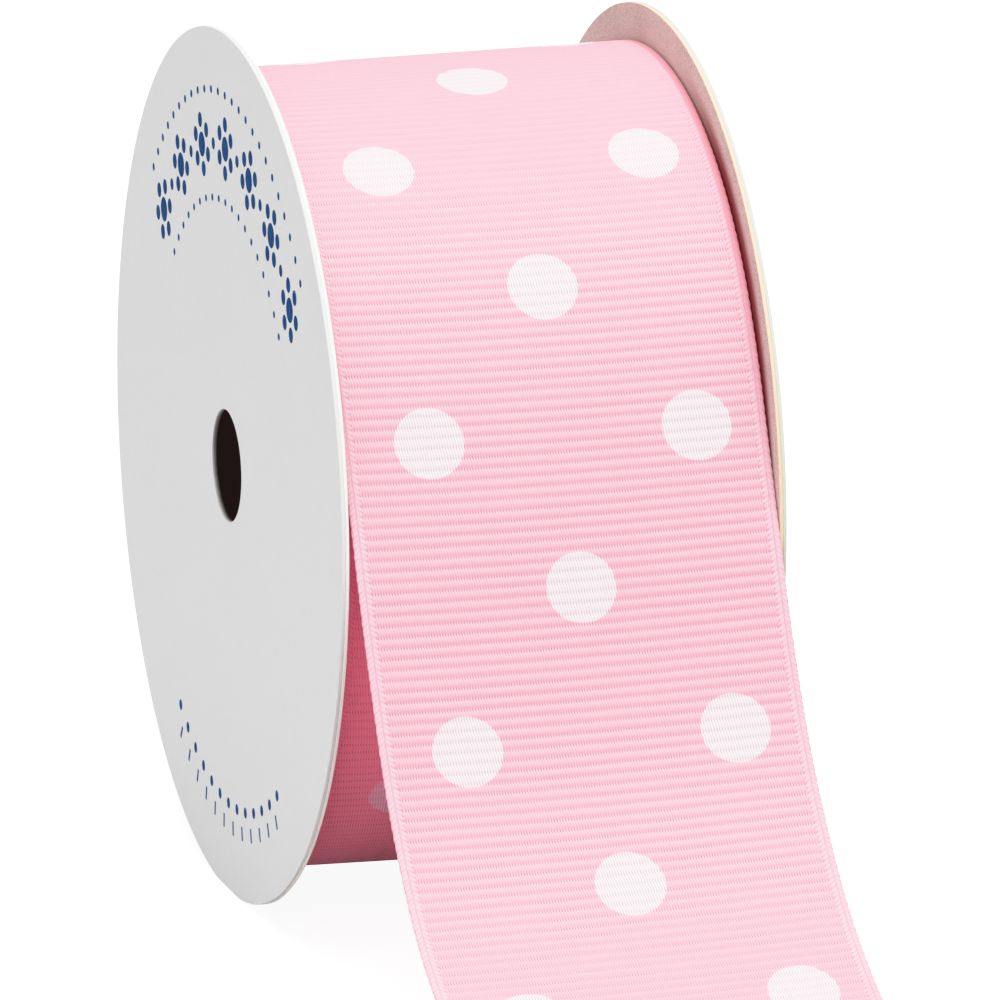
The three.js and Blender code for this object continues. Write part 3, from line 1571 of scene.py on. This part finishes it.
@dataclass(frozen=True)
class Studio:
    """A plain white floor under soft light, and the camera at the photograph's angle."""

    subject: Vector
    azimuth: float = math.radians(-16.05)
    elevation: float = math.radians(13.51)
    distance: float = 1.1051
    lens: float = 447.2
    sensor: float = 36.0
    clip: Span = (0.05, 20.0)
    framing_right: float = 5.117 * MM
    framing_up: float = -4.340 * MM
    floor_size: float = 8.0
    floor_height: float = -0.05 * MM
    floor_white: float = 0.7
    floor_glow: float = 1.3
    bounce_height: float = -0.25 * MM
    bounce: float = 0.68
    sky: float = 0.60
    lamp_place: tuple[float, float, float] = (-0.05, -0.42, 1.25)
    lamp_size: float = 0.8
    lamp_power: float = 27.5
    white_point: float = 1.75

    # Tones of light and how bright they show, up to the white point, which shows as 1.
    shoulder: tuple[Span, ...] = (
        (0.15, 0.15), (0.3, 0.3), (0.5, 0.5), (0.65, 0.645), (0.85, 0.78), (1.1, 0.88), (1.4, 0.95),
    )

    def camera(self) -> None:
        """Set up the camera."""
        turn, tilt = self.azimuth, self.elevation
        away = Vector((math.sin(turn) * math.cos(tilt), -math.cos(turn) * math.cos(tilt), math.sin(tilt)))
        right = (-away).cross(Vector((0, 0, 1))).normalized()
        up = right.cross(-away)
        data = bpy.data.cameras.new("camera")
        data.lens = self.lens
        data.sensor_width = self.sensor
        data.clip_start, data.clip_end = self.clip
        camera = bpy.data.objects.new("camera", data)
        bpy.context.scene.collection.objects.link(camera)
        place = self.subject + away * self.distance + right * self.framing_right + up * self.framing_up
        facing = Matrix((right, up, away)).transposed().to_4x4()
        camera.matrix_world = Matrix.Translation(place) @ facing
        bpy.context.scene.camera = camera

    def floor(self, name: str, height: float, white: float, glow: float) -> bpy.types.Object:
        """Lay one sheet of the floor.

        Args:
            name: Its name.
            height: How high it lies.
            white: How much light it gives back.
            glow: How much light of its own it shows.

        Returns:
            The floor.
        """
        half = self.floor_size / 2
        corners = [(x * half, y * half, height) for x, y in ((-1, -1), (1, -1), (1, 1), (-1, 1))]
        mesh = bpy.data.meshes.new(name)
        mesh.from_pydata(corners, [], [(0, 1, 2, 3)])
        net = Shader(name, roughness=0.9, level=0.1)
        net.glow((1.0, 1.0, 1.0, 1.0), glow)
        mesh.materials.append(net.finish((white, white, white, 1.0)))
        floor = new_piece(name, mesh)
        return floor

    def floors(self) -> None:
        """Lay the white floor that the camera sees, and the quieter one that lights the spool."""
        shown = self.floor("floor", self.floor_height, self.floor_white, self.floor_glow)
        shown.visible_diffuse = False
        shown.visible_glossy = False
        shown.visible_shadow = False
        bounce = self.floor("bounce_floor", self.bounce_height, self.bounce, 0.0)
        bounce.visible_camera = False

    def lamp(self) -> None:
        """Hang the soft light, facing the spool."""
        data = bpy.data.lights.new("top_softbox", "AREA")
        data.shape = "SQUARE"
        data.size = self.lamp_size
        data.energy = self.lamp_power
        lamp = bpy.data.objects.new("top_softbox", data)
        bpy.context.scene.collection.objects.link(lamp)
        place = Vector(self.lamp_place)
        lamp.location = self.subject + place
        lamp.rotation_euler = (-place).to_track_quat("-Z", "Y").to_euler()
        lamp.visible_camera = False

    def light_sky(self) -> None:
        """Light the room evenly."""
        world = bpy.data.worlds.new("white_studio")
        world.use_nodes = True
        background = world.node_tree.nodes["Background"]
        background.inputs["Color"].default_value = (1.0, 1.0, 1.0, 1.0)
        background.inputs["Strength"].default_value = self.sky
        bpy.context.scene.world = world

    def tones(self) -> None:
        """Ease the brightest tones to white, as the photograph does."""
        view = bpy.context.scene.view_settings
        view.view_transform = "Standard"
        view.use_curve_mapping = True
        curves = view.curve_mapping
        curves.white_level = (self.white_point,) * 3
        for tone, shown in self.shoulder:
            curves.curves[3].points.new(tone / self.white_point, shown)
        curves.update()

    def build(self) -> None:
        """Set up camera, floors, light and tones."""
        self.camera()
        self.floors()
        self.lamp()
        self.light_sky()
        self.tones()


def main() -> None:
    """Build the spool piece by piece, in the order in which it is put together."""
    logging.basicConfig(level=logging.INFO, format="%(name)s: %(message)s")
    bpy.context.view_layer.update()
    core_low, core_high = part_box("core_tube")
    card_low, card_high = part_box("far_flange")
    centre = (core_low + core_high) / 2
    width = core_high.x - core_low.x
    core_radius = (core_high.z - core_low.z) / 2
    card_radius = (card_high.y - card_low.y) / 2

    Studio(centre).build()

    CoreTube(centre, width, core_radius).build(BoardFinish().material(centre))
    weave = Weave(width)
    path = RibbonPath(axis_height=centre.z, thickness=weave.thickness)
    cloth = GrosgrainFinish().material(weave)
    laid = centre + Vector((SETTLED, 0.0, 0.0))
    ribbon = Ribbon(laid, weave, path)
    turns = WoundTurns(laid, weave, path, core_radius + CORE_AIR, ribbon.taper).build(cloth)
    ribbon.build(cloth, turns)

    faces = GREY_COAT.material(centre), RAW_FACE.material(centre)
    hole_edge = HoleEdgeFinish().material(outside=card_high.x, inner=card_low.x)
    rims = {
        Side.NEAR: (GREY_EDGE.material(), WHITE_EDGE.material()),
        Side.FAR: (PALE_EDGE.material(), CREAM_EDGE.material()),
    }
    for side in Side:
        card = CardFlange(
            side, centre, inner_face=card_low.x - centre.x, thickness=card_high.x - card_low.x,
            radius=card_radius, standing=centre.z,
        )
        card.build(faces, rims[side], hole_edge)
    FlangePrint(centre, face=card_high.x).build(InkFinish().material())


if __name__ == "__main__":
    main()
